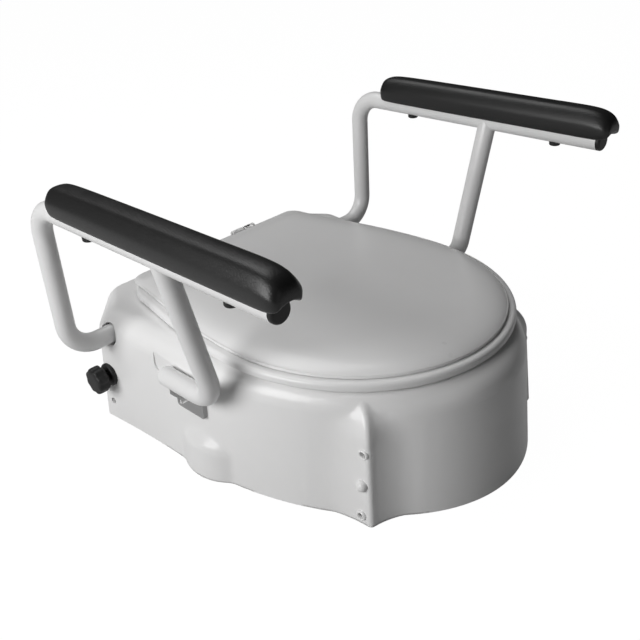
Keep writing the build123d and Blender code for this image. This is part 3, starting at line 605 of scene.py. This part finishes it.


# trays behind the notches under the armrests' feet, darkened with painted shade: two corners on the left side
notchTray = {"low": (0.1620, 0.0120, 0.0740), "high": (0.1995, 0.0580, 0.1040), "wall": 0.0015, "round": 0.003}


def buildTray(side):
    low, high = Vector(notchTray["low"]), Vector(notchTray["high"])
    mesh = bmesh.new()
    bmesh.ops.create_cube(mesh, size=1.0)
    bmesh.ops.scale(mesh, verts=mesh.verts, vec=high - low)
    bmesh.ops.translate(mesh, verts=mesh.verts, vec=(low + high) / 2)
    opened = [face for face in mesh.faces if face.calc_center_median().x > high.x - 1e-4]
    bmesh.ops.delete(mesh, geom=opened, context="FACES_ONLY")
    corners = [edge for edge in mesh.edges if not edge.is_boundary]
    bmesh.ops.bevel(mesh, geom=corners, offset=notchTray["round"], affect="EDGES", segments=3, profile=0.5, material=-1)
    bmesh.ops.solidify(mesh, geom=mesh.faces[:], thickness=notchTray["wall"])
    bmesh.ops.scale(mesh, verts=mesh.verts, vec=(bothSides[side], 1, 1))
    # the tray's darkened finish is painted shade inside the notch
    addPiece("notchTray" + side.capitalize(), mesh, "base", paintedShadePocketFinish, "body_plastic")


for side in bothSides:
    buildTray(side)
print("notch trays set")


# armrest pads: a cage cut from a block, drawn to its sections, then subdivided
padMould = {
    "sections": (  # from the nose's tip: distance, half width, top and underside above the rail's axis
        (0.0, 0.0128, 0.0205, 0.0100), (0.0035, 0.0172, 0.0285, 0.0062), (0.0130, 0.0188, 0.0345, 0.0042),
        (0.0300, 0.0188, 0.0370, 0.0040), (0.0800, 0.0188, 0.0366, 0.0040), (0.1700, 0.0188, 0.0368, 0.0040),
        (0.2600, 0.0188, 0.0366, 0.0040), (0.3120, 0.0188, 0.0362, 0.0042), (0.3235, 0.0180, 0.0330, 0.0050),
        (0.3270, 0.0135, 0.0270, 0.0080)),
    "fullSection": 4, "cuts": (-0.62, -0.3, 0.3, 0.62), "railHeight": 0.297,
    "shoulderIn": 0.92, "shoulderDrop": 0.0125, "crownDrop": 0.0024, "waist": 0.45, "footIn": 0.88,
    "grooveRoof": 0.0122, "grooveShare": 0.63,
    "level": 3, "fill": 0.8,
}


def padPlace(share, level, section):
    # where a cage point goes: its share across the block, and level 1 on top, 0 at the waist, -1 below
    _, halfWidth, top, underside = section
    _, fullHalf, fullTop, fullUnderside = padMould["sections"][padMould["fullSection"]]
    atEdge, atShoulder = abs(share) > 0.9, abs(share) > 0.5
    if level > 0.5:
        drop = padMould["shoulderDrop"] if atEdge else padMould["crownDrop"] * atShoulder
        height = top - drop * (top - underside) / (fullTop - fullUnderside)
        share *= padMould["shoulderIn"] if atEdge else 1
    elif level > -0.5:
        height = along((underside, top), padMould["waist"])
    elif atEdge:
        height = underside
        share *= padMould["footIn"]
    elif atShoulder:  # lip of the groove, as wide at the ends as in the middle
        height = underside
        share = copysign(padMould["grooveShare"] * fullHalf / halfWidth, share)
    else:
        height = padMould["grooveRoof"]
    return share * halfWidth, height


def buildPad(side):
    nodeName = "armrest_pad_" + side
    low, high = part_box(nodeName)
    sections = padMould["sections"]
    last = len(sections) - 1
    mesh = bmesh.new()
    bmesh.ops.create_cube(mesh, size=2.0)
    cuts = [((0, along((-1, 1), step / last), 0), (0, 1, 0)) for step in range(1, last)]
    cuts += [((share, 0, 0), (1, 0, 0)) for share in padMould["cuts"]] + [((0, 0, 0), (0, 0, 1))]
    for place, facing in cuts:
        cutBy(mesh, place, facing, dist=1e-5)
    for vert in mesh.verts:
        section = sections[round((vert.co.y + 1) / 2 * last)]
        across, height = padPlace(vert.co.x, vert.co.z, section)
        vert.co = ((low.x + high.x) / 2 + across, low.y + section[0], padMould["railHeight"] + height)
    bmesh.ops.recalc_face_normals(mesh, faces=mesh.faces)
    mesh = applied(mesh, "SUBSURF", levels=padMould["level"], render_levels=padMould["level"])
    pad = addPiece("armPad" + side.capitalize(), mesh, "armrest_" + side, foamFinish, "pad_foam", nodeName)


for side in bothSides:
    buildPad(side)
print("pads moulded")


# studio: pale floor, soft light, white behind
studio = {
    "floorSize": 14.0, "floorTone": 0.3, "floorGap": 0.0004,
    "whiteShare": 0.9, "whiteLevel": 1.1, "mirrorShare": 0.35, "sky": 0.03,
}
lamps = {  # place, aim, width, depth, watts
    "key": ((-1.7, 0.18, 0.88), (0, -0.05, 0.12), 1.1, 0.9, 25.5),
    "top": ((0.1, 0.95, 2.1), (0, 0, 0.1), 1.5, 1.2, 18.0),
    "fill": ((-0.2, -2.3, 0.7), (0, 0, 0.1), 1.2, 0.8, 1.6),
}


def whiteShown(finish):
    # 1 where the camera or glass sees the surface, a share in mirrors, 0 for the light it gives
    rays = finish.node("LightPath").socket.node
    camera, mirror, glass = (Wire(finish, rays.outputs["Is " + kind + " Ray"])
                             for kind in ("Camera", "Glossy", "Transmission"))
    seen = camera + mirror * studio["mirrorShare"] + glass
    return finish.node("Math", {"operation": "MINIMUM"}, {0: seen, 1: 1.0})


def buildFloor():
    finish = Finish("floor", Roughness=0.9, Specular_IOR_Level=0.1, Base_Color=grey(studio["floorTone"]))
    glow = finish.node("Emission", inputs={"Color": grey(1.0), "Strength": studio["whiteLevel"]})
    surface = finish.node("MixShader", inputs={0: whiteShown(finish) * studio["whiteShare"],
                                               1: Wire(finish, finish.shader.outputs[0]), 2: glow})
    finish.feed(finish.tree.nodes["Material Output"].inputs["Surface"], surface)
    mesh = bmesh.new()
    bmesh.ops.create_grid(mesh, x_segments=1, y_segments=1, size=studio["floorSize"] / 2)
    bmesh.ops.translate(mesh, verts=mesh.verts, vec=(0, 0, cadLow.z - studio["floorGap"]))
    floor = linked("floor", mesh)
    dress(floor, finish.material)


class Sky(Finish):
    # the same node writer on the world's tree
    def __init__(self, tree):
        self.tree = tree


def buildSky():
    # white for the camera, faint for everything else
    world = bpy.data.worlds.new("studio")
    world.use_nodes = True
    world.node_tree.nodes.clear()
    bpy.context.scene.world = world
    sky = Sky(world.node_tree)
    lit = sky.node("Background", inputs={"Color": grey(1.0), "Strength": studio["sky"]})
    shown = sky.node("Background", inputs={"Color": grey(1.0), "Strength": 1.0})
    camera = sky.node("LightPath", output="Is Camera Ray")
    output = world.node_tree.nodes.new("ShaderNodeOutputWorld")
    sky.feed(output.inputs["Surface"], sky.node("MixShader", inputs={0: camera, 1: lit, 2: shown}))


def buildLamp(name, place, aim, width, depth, watts):
    light = bpy.data.lights.new(name, "AREA")
    light.shape, light.size, light.size_y, light.energy = "RECTANGLE", width, depth, watts
    lamp = bpy.data.objects.new(name, light)
    bpy.context.scene.collection.objects.link(lamp)
    lamp.location = place
    lamp.rotation_euler = (Vector(aim) - Vector(place)).to_track_quat("-Z", "Y").to_euler()


buildFloor()
buildSky()
for lampName, lampSetting in lamps.items():
    buildLamp(lampName, *lampSetting)
print("studio lit")


# camera: angles in degrees, focal length in pixels of a square frame
shot = {
    "azimuth": -44.28, "elevation": 29.5, "roll": -3.6, "target": (0.0, 0.030, 0.102), "distance": 0.994,
    "focalPixels": 817.0, "framePixels": 640.0, "sensorWidth": 36.0,
}


def buildCamera():
    turn, rise, roll = (radians(shot[name]) for name in ("azimuth", "elevation", "roll"))
    back = Vector((sin(turn) * cos(rise), -cos(turn) * cos(rise), sin(rise)))
    right = (-back).cross(Vector((0, 0, 1))).normalized()
    up = right.cross(-back)
    leanRight = right * cos(roll) + up * sin(roll)
    leanUp = up * cos(roll) - right * sin(roll)
    data = bpy.data.cameras.new("camera")
    data.sensor_width = shot["sensorWidth"]
    data.lens = shot["focalPixels"] / shot["framePixels"] * shot["sensorWidth"]
    camera = bpy.data.objects.new("camera", data)
    bpy.context.scene.collection.objects.link(camera)
    stance = Matrix((leanRight, leanUp, back)).transposed().to_4x4()
    stance.translation = Vector(shot["target"]) + back * shot["distance"]
    camera.matrix_world = stance
    bpy.context.scene.camera = camera


buildCamera()
bpy.context.scene.view_settings.view_transform = "Standard"

bpy.context.view_layer.update()
